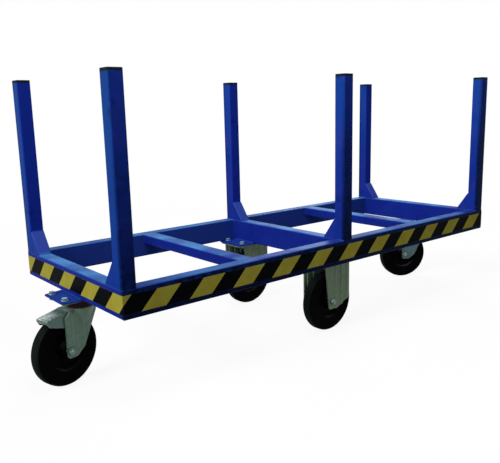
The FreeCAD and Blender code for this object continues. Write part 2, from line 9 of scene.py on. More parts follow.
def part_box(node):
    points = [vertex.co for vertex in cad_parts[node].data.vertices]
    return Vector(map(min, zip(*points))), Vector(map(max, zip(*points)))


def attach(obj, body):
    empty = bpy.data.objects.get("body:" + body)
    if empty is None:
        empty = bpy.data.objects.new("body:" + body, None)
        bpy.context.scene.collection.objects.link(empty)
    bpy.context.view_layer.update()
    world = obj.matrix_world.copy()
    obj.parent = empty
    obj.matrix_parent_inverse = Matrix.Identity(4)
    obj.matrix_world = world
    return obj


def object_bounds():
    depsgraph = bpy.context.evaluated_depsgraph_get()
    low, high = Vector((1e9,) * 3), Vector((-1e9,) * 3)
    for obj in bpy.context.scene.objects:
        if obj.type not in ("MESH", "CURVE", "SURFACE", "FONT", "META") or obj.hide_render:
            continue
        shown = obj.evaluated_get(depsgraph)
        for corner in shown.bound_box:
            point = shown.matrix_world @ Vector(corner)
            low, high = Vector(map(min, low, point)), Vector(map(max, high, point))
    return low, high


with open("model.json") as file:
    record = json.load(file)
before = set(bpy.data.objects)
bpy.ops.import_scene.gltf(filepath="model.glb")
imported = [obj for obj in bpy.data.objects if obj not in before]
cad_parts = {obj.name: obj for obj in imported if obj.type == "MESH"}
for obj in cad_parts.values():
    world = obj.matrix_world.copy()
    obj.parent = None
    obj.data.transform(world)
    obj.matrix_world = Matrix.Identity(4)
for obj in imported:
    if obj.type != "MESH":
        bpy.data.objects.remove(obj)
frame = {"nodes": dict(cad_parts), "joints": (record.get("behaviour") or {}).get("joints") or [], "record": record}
cad_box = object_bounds()
nodes = frame["nodes"]

# Metres throughout, in the frame's own axes: X along the cart, Y across it, Z up from the floor.

# Sizes taken from the frame
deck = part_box("crossbar_left")[1].z
rail_low, rail_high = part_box("side_rail_front")
half_length = rail_high.x
half_width = -rail_low.y
tube_width = rail_high.y - rail_low.y
cart_top = cad_box[1].z
tape_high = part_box("hazard_tape")[1]
wheel_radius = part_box("tyre_front")[1].z / 2
spins = [joint for joint in frame["joints"] if joint["name"].endswith("_wheel_spin")]
wheels = {joint["name"].split("_")[0]: joint for joint in spins}

# Camera, fitted to the photograph
photo_width = 500
focal_length_px = 613.9
sensor_width_mm = 36.0
camera_azimuth = -39.70
camera_elevation = 11.18
camera_roll = -1.41
camera_depth = 2.718
camera_side = 0.148
camera_drop = -0.018

# Colours of the blue paint, plain and where it has changed
paint_tones = ((0.0050, 0.0185, 0.185), (0.0070, 0.0250, 0.235))
paint_edges = (0.055, 0.13, 0.38)
paint_scuffs = (0.03, 0.07, 0.26)
paint_chalk = (0.0165, 0.0270, 0.2350)
paint_feet = (0.0010, 0.0195, 0.2380)
# painted light: paler blue higher up on faces that look along the cart
paint_pale_light = (0.0080, 0.0900, 0.2750)
# painted light: brighter blue on faces that look in from the long sides
paint_inner_light = (0.0065, 0.0215, 0.2880)
# lighter, greyer blue below the deck on faces that look across the cart
paint_below_across = (0.0165, 0.0450, 0.2580)
# painted shade: darker violet below the deck on faces that look along the cart
paint_shade_violet = (0.0051, 0.0135, 0.1830)
# painted light on the gussets' slopes
paint_slope_light = (0.0280, 0.0545, 0.3150)
paint_smudges = (0.0030, 0.0090, 0.0700)
# painted shade, with some dirt, low on the outside of the long sides
paint_shade_grime = (0.0008, 0.0048, 0.024)
# painted light: pale sky blue on faces that look up near the deck
paint_top_light = (0.056, 0.213, 0.488)

# Colours of the tape and the tyres, as a darker and a lighter tone, of marks and dust on them, and of the tyres'
# rubbed tread with its painted highlights
tape_yellow = ((0.285, 0.270, 0.033), (0.328, 0.311, 0.043))
tape_black = ((0.0006, 0.0007, 0.0010), (0.0017, 0.0020, 0.0025))
tape_stain = (0.310, 0.218, 0.029)
tape_scuffs = (0.10, 0.11, 0.10)
tyre_side = ((0.0008, 0.0006, 0.0010), (0.0020, 0.0016, 0.0023))
# rubbed tread, and painted highlights on the shoulders and along a line near the tread's edge
tyre_rubbed_lit = ((0.0085, 0.0130, 0.0125), (0.0165, 0.0240, 0.0225))
dust_color = (0.09, 0.09, 0.085)

# Soft patches: the noise's scale and detail, where it starts to show and is full, and the most it covers
chalk_patches = {"scale": 11.0, "detail": 5.0, "low": 0.45, "high": 0.70, "most": 0.70}
smudge_patches = {"scale": 17.0, "detail": 4.0, "low": 0.60, "high": 0.72, "most": 0.60}
stain_patches = {"scale": 22.0, "detail": 5.0, "low": 0.42, "high": 0.68, "most": 0.75}
patch_roughness = 0.6

# Ranges of a skin's tone over which colour and roughness change
skin_tone = (0.3, 0.7)
skin_rough = (0.25, 0.75)
bloom_tone = (0.3, 0.75)
bloom_rough = (0.25, 0.8)

# Ranges over which the masks of rubbed edges and changed tops go from none to full
edge_turn = (0.02, 0.25)
edge_breaks = (0.45, 0.65)
looks_up = (0.35, 0.95)
top_breaks = (0.30, 0.62)
looks_along = (0.4, 0.8)

# Scratches along the cart
scuff_stretch = (9.0, 160.0, 160.0)
scuff_start = 0.80
scuff_gain = 0.2
scuff_fade = 0.05

# Bloom of plated sheet: how much cloud, cells and rolled streaks count
cloud_share = 0.45
cell_share = 0.20
streak_share = 0.45
streak_stretch = (90.0, 90.0, 6.0)
speck_range = (0.62, 0.72)
speck_darkness = 0.6

# Warning stripes
stripe_pitch = 0.177
stripe_share = 0.5
stripe_start = 0.119
stripe_lean = 0.967

# Rubbed tread of the tyres, with a painted highlight on the shoulders and a painted highlight line near the
# tread's edge, as parts of the wheel's radius
shoulder_highlight_start = 0.940
shoulder_highlight_full = 0.970
shoulder_highlight_share = 0.18
tread_start = 0.980
tread_share = 0.40
highlight_line = 0.984
highlight_line_half = 0.012

# Painted shade, with some dirt, on the outside of the long sides: darker towards the floor, and reaching higher at
# the right end, where the light falls off
shade_grime_low = 0.31
shade_grime_high = 0.95
shade_grime_rise = 0.30
shade_grime_sway = 0.12
shade_grime_most = 0.85
shade_grime_skin = 0.007
shade_grime_slope = (0.2, 0.6)
mottle_scale = 40.0
mottle_roughness = 0.65
mottle_range = (0.35, 0.65)
mottle_share = (0.7, 1.3)
bottom_band_low = 0.318
bottom_band_high = 0.338
bottom_band_most = 0.96

# Painted light on faces that look along the cart: on the end faces, paler with height, and on the inner posts
# towards their tops
end_skin = 0.004
pale_light_low = 0.16
pale_light_most = 0.55
pale_light_from = 0.60
pale_light_tops = 0.26
pale_light_scale = 5.0
pale_light_breaks = (0.3, 0.7)
pale_light_least = 0.6

# Deeper blue at the posts' feet, painted light as a brighter blue on their inner sides, and below the deck a
# lighter, greyer blue on faces that look across and painted shade on faces that look along the cart
feet_most = 0.85
inner_light_most = 0.7
inner_light_range = (-0.15, -0.05)
below_across_most = 0.6
shade_violet_scale = 9.0
shade_violet_breaks = (0.3, 0.7)
shade_violet_least = 0.5

# Painted light on the tops near the deck's height and on the gussets' slopes, and the pedal rubbed by a foot: how
# near the deck's height they are, and the share left elsewhere
deck_band = 0.004
top_light_rails = 0.60
top_light_below = 0.10
slope_low = (0.25, 0.35)
slope_high = (0.65, 0.80)
slope_light_most = 0.95
pedal_least = 0.15

# Painted shadow of the axle bolts, a cloudy darker ring round each axle, as distances from the axle
axle_shadow_full = 0.012
axle_shadow_end = 0.021
axle_shadow_most = 0.75
axle_shadow_scale = 60.0
axle_shadow_breaks = (0.3, 0.6)
axle_shadow_least = 0.4
axle_shadow_darkness = 0.3

# Rubbed edges of moulded pieces, against their lighter tone
moulded_edge_gain = 2.5
moulded_edge_lift = 0.004

# Weld beads
bead_radius = 0.003
pad_bead_radius = 1.2 * bead_radius
bead_step = 0.0018
bead_ripple_pitch = 0.0054
bead_ripple = 0.12
bead_sides = 8
bead_inset = 0.0032
bead_end = 0.04
steep = 0.9

# Screw threads on the bolt ends
thread_pitch = 0.00175
thread_height = 0.0004
thread_half_width = 0.4 * thread_pitch
thread_steps = 24
nut_reach = 1.2

# Rounded edges, by kind of piece
fastener_edge = 0.0007
plate_edge = 0.0008
sheet_edge = 0.0006
edge_angle = 35.0
edge_weld = 0.00002

# Light
sky_level = 0.22
sky_color = (0.94, 0.97, 1.0)
sun_strength = 2.95
sun_from = (-0.85, -0.05, 0.50)
sun_spread = 30.0
near_lamp_power = 26.0
near_lamp_place = (-0.9, -1.0, 2.4)
far_lamp_power = 30.0
far_lamp_place = (1.9, 1.5, 1.6)
lamp_size = 1.2

# Floor
floor_size = 40.0
floor_pale = 0.9
floor_white = 0.90
floor_near = 1.3
floor_far = 4.0
floor_bounce = 0.18


# Shader building blocks

def node(tree, kind, inputs=None, **settings):
    """Adds a node; inputs are values or sockets to join, by name or number."""
    made = tree.nodes.new(kind)
    for key, value in settings.items():
        setattr(made, key, value)
    for key, value in (inputs or {}).items():
        if isinstance(value, bpy.types.NodeSocket):
            tree.links.new(value, made.inputs[key])
        else:
            made.inputs[key].default_value = value
    return made


def math_node(tree, operation, *values):
    """Result of one arithmetic step."""
    return node(tree, "ShaderNodeMath", dict(enumerate(values)), operation=operation).outputs[0]


def product(tree, first, *others):
    """Several values multiplied."""
    for other in others:
        first = math_node(tree, "MULTIPLY", first, other)
    return first


def vector_math(tree, operation, *vectors):
    """Outputs of one step with vectors."""
    return node(tree, "ShaderNodeVectorMath", dict(enumerate(vectors)), operation=operation).outputs


def mix_color(tree, factor, first, second):
    """Blend of two colours, each a socket or three numbers."""
    ends = [(*color, 1.0) if isinstance(color, tuple) else color for color in (first, second)]
    made = node(tree, "ShaderNodeMix", {0: factor, 6: ends[0], 7: ends[1]}, data_type="RGBA")
    return made.outputs[2]


def spread(tree, value, low, high, to_low=0.0, to_high=1.0):
    """Value stretched from one range to another and held at its ends."""
    made = node(tree, "ShaderNodeMapRange", {0: value, 1: low, 2: high, 3: to_low, 4: to_high})
    return made.outputs[0]


def noise(tree, coords, scale, detail=3.0, roughness=0.5):
    """Soft noise over a coordinate."""
    values = {"Vector": coords, "Scale": scale, "Detail": detail, "Roughness": roughness}
    return node(tree, "ShaderNodeTexNoise", values).outputs[0]


def patches(tree, coords, scale, detail, low, high, most):
    """Mask of soft patches."""
    cloud = noise(tree, coords, scale, detail, patch_roughness)
    return spread(tree, cloud, low, high, 0.0, most)


def new_group(name, inputs, outputs):
    """Empty shader group with named number sockets."""
    tree = bpy.data.node_groups.new(name, "ShaderNodeTree")
    for label, value in inputs.items():
        socket = tree.interface.new_socket(label, in_out="INPUT", socket_type="NodeSocketFloat")
        socket.default_value = value
    for label in outputs:
        tree.interface.new_socket(label, in_out="OUTPUT", socket_type="NodeSocketFloat")
    return tree, tree.nodes.new("NodeGroupInput").outputs, tree.nodes.new("NodeGroupOutput").inputs


def placed(tree, group, **values):
    """A group placed in a material with its own values; underscores stand for spaces."""
    made = tree.nodes.new("ShaderNodeGroup")
    made.node_tree = group
    for key, value in values.items():
        made.inputs[key.replace("_", " ")].default_value = value
    return made.outputs


def object_coords(tree):
    """Place on the object, in metres."""
    return node(tree, "ShaderNodeTexCoord").outputs["Object"]


def surface_normal(tree):
    """Direction that the surface looks in."""
    return node(tree, "ShaderNodeNewGeometry").outputs["Normal"]


def axis_parts(tree, vector):
    """X, Y and Z of a vector."""
    return node(tree, "ShaderNodeSeparateXYZ", {0: vector}).outputs


# Shared effects

def coat_texture_group():
    """Tone: broad cloudiness. Grain: the fine height of a sprayed or moulded skin."""
    scales = {"Tone Scale": 6.0, "Grain Scale": 900.0}
    tree, given, result = new_group("coat_texture", scales, ["Tone", "Grain"])
    coords = object_coords(tree)
    tree.links.new(noise(tree, coords, given["Tone Scale"]), result["Tone"])
    tree.links.new(noise(tree, coords, given["Grain Scale"], detail=2.0), result["Grain"])
    return tree


def edge_rub_group():
    """Mask of rubbed edges: where a rounded copy of the surface leaves it, broken up by noise."""
    values = {"Width": 0.003, "Breakup": 60.0, "Amount": 0.5}
    tree, given, result = new_group("edge_rub", values, ["Mask"])
    rounded = node(tree, "ShaderNodeBevel", {"Radius": given["Width"]}, samples=4).outputs[0]
    along = vector_math(tree, "DOT_PRODUCT", rounded, surface_normal(tree))["Value"]
    edge = spread(tree, math_node(tree, "SUBTRACT", 1.0, along), *edge_turn)
    broken = spread(tree, noise(tree, object_coords(tree), given["Breakup"], detail=4.0), *edge_breaks)
    tree.links.new(product(tree, edge, broken, given["Amount"]), result["Mask"])
    return tree


def top_patches_group():
    """Mask of faces that look up, in soft patches."""
    tree, given, result = new_group("top_patches", {"Patch Scale": 14.0, "Amount": 0.3}, ["Mask"])
    upward = axis_parts(tree, surface_normal(tree))[2]
    broken = spread(tree, noise(tree, object_coords(tree), given["Patch Scale"], detail=5.0), *top_breaks)
    mask = product(tree, spread(tree, upward, *looks_up), broken, given["Amount"])
    tree.links.new(mask, result["Mask"])
    return tree


def scuff_group():
    """Mask of long fine scratches, stretched along the cart."""
    tree, given, result = new_group("scuffs", {"Density": 0.5, "Amount": 0.4}, ["Mask"])
    stretch = {"Vector": object_coords(tree), "Scale": scuff_stretch}
    stretched = node(tree, "ShaderNodeMapping", stretch).outputs[0]
    lines = noise(tree, stretched, scale=1.0, detail=6.0, roughness=0.7)
    high = math_node(tree, "SUBTRACT", scuff_start, product(tree, given["Density"], scuff_gain))
    fine = spread(tree, math_node(tree, "SUBTRACT", lines, high), 0.0, scuff_fade)
    tree.links.new(product(tree, fine, given["Amount"]), result["Mask"])
    return tree


def shade_and_grime_group():
    """Mask of painted shade with some dirt on the outside of the long sides, darker towards the floor and towards
    the right end, with a cloudy edge.
    """
    tree, given, result = new_group("shade_and_grime", {"Cloud Scale": 7.0, "Amount": 0.5}, ["Mask"])
    coords = object_coords(tree)
    x, y, height = axis_parts(tree, coords)
    from_middle = math_node(tree, "ABSOLUTE", y)
    outer = spread(tree, from_middle, half_width - 2 * shade_grime_skin, half_width - shade_grime_skin)
    cloud = noise(tree, coords, given["Cloud Scale"], detail=4.0)
    wavy = math_node(tree, "ADD", height, spread(tree, cloud, 0.0, 1.0, -shade_grime_sway, shade_grime_sway))
    # painted shade reaching higher towards the right end, where the light falls off
    rise = spread(tree, x, -half_length, half_length, 0.0, shade_grime_rise)
    depth = spread(tree, math_node(tree, "SUBTRACT", wavy, rise), shade_grime_low, shade_grime_high, 1.0, 0.0)
    spots = noise(tree, coords, mottle_scale, detail=5.0, roughness=mottle_roughness)
    mottle = spread(tree, spots, *mottle_range, *mottle_share)
    shade_film = product(tree, depth, mottle, given["Amount"])
    bottom_band = spread(tree, height, bottom_band_low, bottom_band_high, bottom_band_most, 0.0)
    darkening = math_node(tree, "MINIMUM", math_node(tree, "MAXIMUM", shade_film, bottom_band), 1.0)
    upward = axis_parts(tree, surface_normal(tree))[2]
    outer_faces = product(tree, outer, spread(tree, upward, *shade_grime_slope, 1.0, 0.0))
    tree.links.new(product(tree, darkening, outer_faces), result["Mask"])
    return tree


def zinc_bloom_group():
    """Tone, grain and specks of a plated sheet: cloudy crystals, a fine rolled grain and dull spots."""
    scales = {"Cloud Scale": 22.0, "Grain Scale": 420.0, "Speck Scale": 130.0}
    tree, given, result = new_group("zinc_bloom", scales, ["Tone", "Grain", "Specks"])
    coords = object_coords(tree)
    cloud = noise(tree, coords, given["Cloud Scale"], detail=6.0, roughness=0.65)
    crystals = {"Vector": coords, "Scale": given["Grain Scale"]}
    cells = node(tree, "ShaderNodeTexVoronoi", crystals).outputs["Distance"]
    rolled = node(tree, "ShaderNodeMapping", {"Vector": coords, "Scale": streak_stretch}).outputs[0]
    streaks = noise(tree, rolled, scale=1.0, detail=3.0, roughness=0.6)
    tone = math_node(tree, "ADD", product(tree, cloud, cloud_share), product(tree, cells, cell_share))
    tone = math_node(tree, "ADD", tone, product(tree, streaks, streak_share))
    tree.links.new(tone, result["Tone"])
    tree.links.new(math_node(tree, "ADD", cells, cloud), result["Grain"])
    spots = noise(tree, coords, given["Speck Scale"], detail=2.0)
    tree.links.new(spread(tree, spots, *speck_range), result["Specks"])
    return tree


coat_texture = coat_texture_group()
edge_rub = edge_rub_group()
top_patches = top_patches_group()
scuffs = scuff_group()
shade_and_grime = shade_and_grime_group()
zinc_bloom = zinc_bloom_group()


# Where the finishes change

def facing(tree, axis):
    """1 on faces that look along an axis, either way, and 0 on those beside it."""
    part = axis_parts(tree, surface_normal(tree))[axis]
    return spread(tree, math_node(tree, "ABSOLUTE", part), *looks_along)


def below_deck(tree):
    """1 on the frame below its top faces."""
    height = axis_parts(tree, object_coords(tree))[2]
    return spread(tree, height, deck - 2 * deck_band, deck - deck_band, 1.0, 0.0)


def inward(tree):
    """1 on faces that look in from the cart's long sides."""
    across = axis_parts(tree, surface_normal(tree))[1]
    y = axis_parts(tree, object_coords(tree))[1]
    return spread(tree, product(tree, across, y), *inner_light_range, 1.0, 0.0)


def sloping(tree):
    """1 on the gussets' slopes, which get painted light."""
    upward = axis_parts(tree, surface_normal(tree))[2]
    return product(tree, spread(tree, upward, *slope_low), spread(tree, upward, *slope_high, 1.0, 0.0))


def top_light_faces(tree):
    """1 on the deck's cross members, where light is painted on their tops, less on its long rails and least
    elsewhere.
    """
    y, height = axis_parts(tree, object_coords(tree))[1:]
    away = math_node(tree, "ABSOLUTE", math_node(tree, "SUBTRACT", height, deck))
    at_deck = spread(tree, away, deck_band, 2 * deck_band, 1.0, top_light_below)
    from_middle = math_node(tree, "ABSOLUTE", y)
    inner_side = half_width - tube_width
    across = spread(tree, from_middle, inner_side, inner_side + tube_width / 4, 1.0, top_light_rails)
    return product(tree, at_deck, across)


def cart_ends(tree):
    """1 at the outer skin of the cart's two ends."""
    from_middle = math_node(tree, "ABSOLUTE", axis_parts(tree, object_coords(tree))[0])
    return spread(tree, from_middle, half_length - 2 * end_skin, half_length - end_skin)


def end_feet(tree):
    """Share of deeper blue on the cart's end faces, most at the posts' feet."""
    height = axis_parts(tree, object_coords(tree))[2]
    foot = spread(tree, height, deck, cart_top, feet_most, 0.0)
    return product(tree, cart_ends(tree), foot, facing(tree, 0))


def pale_light_ends(tree):
    """Share of painted light on faces that look along the cart: most on the ends, in patches, and less low down.
    """
    coords = object_coords(tree)
    height = axis_parts(tree, coords)[2]
    rising = spread(tree, height, deck, cart_top, pale_light_low, pale_light_most)
    broken = spread(tree, noise(tree, coords, pale_light_scale), *pale_light_breaks, pale_light_least, 1.0)
    ends = product(tree, cart_ends(tree), rising, broken)
    tops = spread(tree, height, pale_light_from, cart_top, 0.0, pale_light_tops)
    return product(tree, math_node(tree, "MAXIMUM", ends, tops), facing(tree, 0))


def pressed_end(tree):
    """1 at the pedal's free end, where a foot presses it, falling off towards its pivot."""
    low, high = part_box("brake_pedal")
    x = axis_parts(tree, object_coords(tree))[0]
    return spread(tree, x, low.x, 0.5 * (low.x + high.x), 1.0, pedal_least)


def axle_distance(tree, wheel):
    """Distance from a wheel's axle."""
    centre = tuple(wheel["pos_m"])
    axis = tuple(Vector(wheel["axis"]).normalized())
    offset = vector_math(tree, "SUBTRACT", object_coords(tree), centre)[0]
    sideways = vector_math(tree, "CROSS_PRODUCT", offset, axis)[0]
    return vector_math(tree, "LENGTH", sideways)["Value"]


def tread_and_highlight_mask(tree, wheel):
    """Mask of a tyre's rubbed tread and painted highlights: most on a painted highlight line near the tread's
    edge, less on the tread and the shoulders' painted highlight, 0 on its sides.
    """
    share = math_node(tree, "DIVIDE", axle_distance(tree, wheel), wheel_radius)
    # painted highlight on the shoulders
    shoulder = spread(tree, share, shoulder_highlight_start, shoulder_highlight_full, 0.0, shoulder_highlight_share)
    running = spread(tree, share, tread_start, 1.0, 0.0, tread_share)
    # painted highlight line near the tread's edge
    from_line = math_node(tree, "ABSOLUTE", math_node(tree, "SUBTRACT", share, highlight_line))
    line = spread(tree, from_line, 0.0, highlight_line_half, 1.0, 0.0)
    return math_node(tree, "MAXIMUM", math_node(tree, "MAXIMUM", shoulder, running), line)


def tape_run(tree, coords):
    """Distance along the tape from the near left corner, and height below its top edge."""
    x, y, z = axis_parts(tree, coords)
    front = math_node(tree, "ADD", x, half_length)
    left = math_node(tree, "SUBTRACT", -half_width, y)
    right = math_node(tree, "ADD", y, 2 * half_length + half_width)
    back = math_node(tree, "SUBTRACT", 3 * half_length + 2 * half_width, x)
    skin = 0.5 * (tape_high.x - half_length)
    sides = ((left, math_node(tree, "LESS_THAN", x, -half_length - skin)),
             (right, math_node(tree, "GREATER_THAN", x, half_length + skin)),
             (back, math_node(tree, "GREATER_THAN", y, half_width + skin)))
    run = front
    for other, here in sides:
        run = node(tree, "ShaderNodeMix", {0: here, 2: run, 3: other}, data_type="FLOAT").outputs[0]
    return run, math_node(tree, "SUBTRACT", z, tape_high.z)


# Finishes

def new_finish(name, roughness, metallic=0.0, specular=0.5):
    """Material with its shader's plain values set."""
    material = bpy.data.materials.new(name)
    material.use_nodes = True
    shader = material.node_tree.nodes["Principled BSDF"]
    shader.inputs["Roughness"].default_value = roughness
    shader.inputs["Metallic"].default_value = metallic
    shader.inputs["Specular IOR Level"].default_value = specular
    return material, material.node_tree, shader


def raise_grain(tree, shader, height, strength, distance):
    """Joins a height to the shader's normal."""
    bump = node(tree, "ShaderNodeBump", {"Height": height, "Strength": strength, "Distance": distance})
    tree.links.new(bump.outputs[0], shader.inputs["Normal"])


def vary_roughness(tree, shader, tone, tone_range, rough):
    """Lets the shader's roughness follow a tone."""
    tree.links.new(spread(tree, tone, *tone_range, *rough), shader.inputs["Roughness"])


def toned(tree, tone, colors):
    """Colour between a darker and a lighter one, by the tone of a skin."""
    return mix_color(tree, spread(tree, tone, *skin_tone), *colors)


def changed_tops(tree, color, top, patch_scale, amount, where=1.0):
    """Colour drawn towards another, in soft patches, on faces that look up."""
    mask = placed(tree, top_patches, Patch_Scale=patch_scale, Amount=amount)["Mask"]
    return mix_color(tree, product(tree, mask, where), color, top)


def weathered_light_shade_blue(tree, color):
    """Paint with its chalky patches and the tones that it has on the cart's different faces, most of them painted
    light and shade.
    """
    coords = object_coords(tree)
    low = below_deck(tree)
    above = math_node(tree, "SUBTRACT", 1.0, low)
    color = mix_color(tree, patches(tree, coords, **chalk_patches), color, paint_chalk)
    color = mix_color(tree, product(tree, end_feet(tree), above), color, paint_feet)
    # painted light, paler higher up on faces that look along the cart
    color = mix_color(tree, pale_light_ends(tree), color, paint_pale_light)
    # painted light on faces that look in from the long sides
    color = mix_color(tree, product(tree, above, inward(tree), inner_light_most), color, paint_inner_light)
    # lighter, greyer blue below the deck on faces that look across
    color = mix_color(tree, product(tree, low, facing(tree, 1), below_across_most), color, paint_below_across)
    # painted shade below the deck on faces that look along the cart
    broken = spread(tree, noise(tree, coords, shade_violet_scale), *shade_violet_breaks, shade_violet_least, 1.0)
    color = mix_color(tree, product(tree, low, facing(tree, 0), broken), color, paint_shade_violet)
    # painted light on the gussets' slopes
    color = mix_color(tree, product(tree, sloping(tree), slope_light_most), color, paint_slope_light)
    return mix_color(tree, patches(tree, coords, **smudge_patches), color, paint_smudges)


def blue_paint():
    """Sprayed blue enamel with a slight orange peel, painted light on the tops near the deck, painted shade low on
    the long sides, and rubbed edges.
    """
    material, tree, shader = new_finish("blue_enamel", roughness=0.45, specular=0.015)
    skin = placed(tree, coat_texture, Tone_Scale=5.0, Grain_Scale=700.0)
    rub = placed(tree, edge_rub, Width=0.0030, Breakup=40.0, Amount=0.8)
    marks = placed(tree, scuffs, Density=0.55, Amount=0.25)
    # painted shade, with some dirt, low on the long sides
    shade_dirt = placed(tree, shade_and_grime, Cloud_Scale=7.0, Amount=shade_grime_most)
    color = toned(tree, skin["Tone"], paint_tones)
    color = mix_color(tree, rub["Mask"], color, paint_edges)
    color = mix_color(tree, marks["Mask"], color, paint_scuffs)
    color = weathered_light_shade_blue(tree, color)
    color = mix_color(tree, shade_dirt["Mask"], color, paint_shade_grime)
    # painted light on the faces that look up near the deck
    color = changed_tops(tree, color, paint_top_light, patch_scale=6.0, amount=1.0, where=top_light_faces(tree))
    tree.links.new(color, shader.inputs["Base Color"])
    vary_roughness(tree, shader, skin["Tone"], skin_rough, rough=(0.38, 0.52))
    raise_grain(tree, shader, skin["Grain"], strength=0.10, distance=0.0004)
    return material


def hazard_tape():
    """Yellow and black slanted bands on one strip of vinyl."""
    material, tree, shader = new_finish("warning_stripes", roughness=0.5, specular=0.01)
    coords = object_coords(tree)
    run, drop = tape_run(tree, coords)
    slant = product(tree, drop, stripe_lean)
    along = math_node(tree, "SUBTRACT", math_node(tree, "SUBTRACT", run, stripe_start), slant)
    turn = math_node(tree, "FRACT", math_node(tree, "DIVIDE", along, stripe_pitch))
    yellow_here = math_node(tree, "LESS_THAN", turn, stripe_share)
    skin = placed(tree, coat_texture, Tone_Scale=30.0, Grain_Scale=500.0)
    marks = placed(tree, scuffs, Density=0.75, Amount=0.45)
    rub = placed(tree, edge_rub, Width=0.002, Breakup=90.0, Amount=0.5)
    yellow = toned(tree, skin["Tone"], tape_yellow)
    yellow = mix_color(tree, patches(tree, coords, **stain_patches), yellow, tape_stain)
    black = toned(tree, skin["Tone"], tape_black)
    color = mix_color(tree, yellow_here, black, yellow)
    color = mix_color(tree, marks["Mask"], color, tape_scuffs)
    color = mix_color(tree, rub["Mask"], color, tape_scuffs)
    tree.links.new(color, shader.inputs["Base Color"])
    vary_roughness(tree, shader, skin["Tone"], skin_rough, rough=(0.42, 0.58))
    raise_grain(tree, shader, skin["Grain"], strength=0.08, distance=0.0003)
    return material


def axle_shadowed(tree, color, shadow_tone, wheel):
    """Colour darkened in a cloudy ring round a wheel's axle: the axle bolt's painted shadow."""
    ring = spread(tree, axle_distance(tree, wheel), axle_shadow_full, axle_shadow_end, axle_shadow_most, 0.0)
    cloud = noise(tree, object_coords(tree), axle_shadow_scale, detail=4.0)
    broken = spread(tree, cloud, *axle_shadow_breaks, axle_shadow_least, 1.0)
    return mix_color(tree, product(tree, ring, broken), color, shadow_tone)


def plated_steel(name, dark, light, worn, wear_and_highlight, edge, rough, metallic, worn_where=None, wheel=None):
    """Zinc-plated steel with cloudy bloom, a fine grain, and tops and edges worn bright, where on bolts the bright
    tops are a painted highlight, and with a wheel a painted shadow round its axle.
    """
    material, tree, shader = new_finish(name, rough[0], metallic)
    bloom = placed(tree, zinc_bloom, Cloud_Scale=20.0, Grain_Scale=380.0)
    rub = placed(tree, edge_rub, Width=edge, Breakup=120.0, Amount=1.0)
    color = mix_color(tree, spread(tree, bloom["Tone"], *bloom_tone), dark, light)
    specks = tuple(part * speck_darkness for part in dark)
    color = mix_color(tree, bloom["Specks"], color, specks)
    where = worn_where(tree) if worn_where else 1.0
    color = changed_tops(tree, color, worn, patch_scale=30.0, amount=wear_and_highlight, where=where)
    color = mix_color(tree, rub["Mask"], color, worn)
    # painted shadow of the axle bolt round the wheel's axle
    if wheel:
        color = axle_shadowed(tree, color, tuple(part * axle_shadow_darkness for part in dark), wheel)
    tree.links.new(color, shader.inputs["Base Color"])
    vary_roughness(tree, shader, bloom["Tone"], bloom_rough, rough)
    raise_grain(tree, shader, bloom["Grain"], strength=0.10, distance=0.0003)
    return material


def moulded(name, dark, light, rough, specular, grain_scale, grain, dusty):
    """Plastic with a moulded skin and a little dust."""
    material, tree, shader = new_finish(name, rough[0], specular=specular)
    skin = placed(tree, coat_texture, Tone_Scale=18.0, Grain_Scale=grain_scale)
    rub = placed(tree, edge_rub, Width=0.0015, Breakup=140.0, Amount=0.25)
    color = toned(tree, skin["Tone"], (dark, light))
    worn = tuple(part * moulded_edge_gain + moulded_edge_lift for part in light)
    color = mix_color(tree, rub["Mask"], color, worn)
    color = changed_tops(tree, color, dust_color, patch_scale=25.0, amount=dusty)
    tree.links.new(color, shader.inputs["Base Color"])
    vary_roughness(tree, shader, skin["Tone"], skin_rough, rough)
    raise_grain(tree, shader, skin["Grain"], strength=grain, distance=0.0005)
    return material


def tyre_rubber(name):
    """Black rubber, its running surface rubbed grey, with painted highlights on its shoulders and along a line
    near the tread's edge.
    """
    material, tree, shader = new_finish("tyre_rubber_" + name, roughness=0.6, specular=0.01)
    skin = placed(tree, coat_texture, Tone_Scale=18.0, Grain_Scale=450.0)
    side = toned(tree, skin["Tone"], tyre_side)
    rubbed_lit = toned(tree, skin["Tone"], tyre_rubbed_lit)
    color = mix_color(tree, tread_and_highlight_mask(tree, wheels[name]), side, rubbed_lit)
    tree.links.new(color, shader.inputs["Base Color"])
    vary_roughness(tree, shader, skin["Tone"], skin_rough, rough=(0.52, 0.68))
    raise_grain(tree, shader, skin["Grain"], strength=0.20, distance=0.0005)
    return material


fork_zinc = {"dark": (0.044, 0.098, 0.068), "light": (0.158, 0.275, 0.200)}
# painted shade: the left fork's zinc made darker and bluer for the right fork
shaded_zinc = {"dark": (0.020, 0.048, 0.054), "light": (0.066, 0.135, 0.156)}
bracket_zinc = {"dark": (0.040, 0.074, 0.038), "light": (0.155, 0.238, 0.134)}
sheet_wear = {"worn": (0.30, 0.36, 0.33), "wear_and_highlight": 0.5, "edge": 0.0015,
              "rough": (0.36, 0.55), "metallic": 0.25}

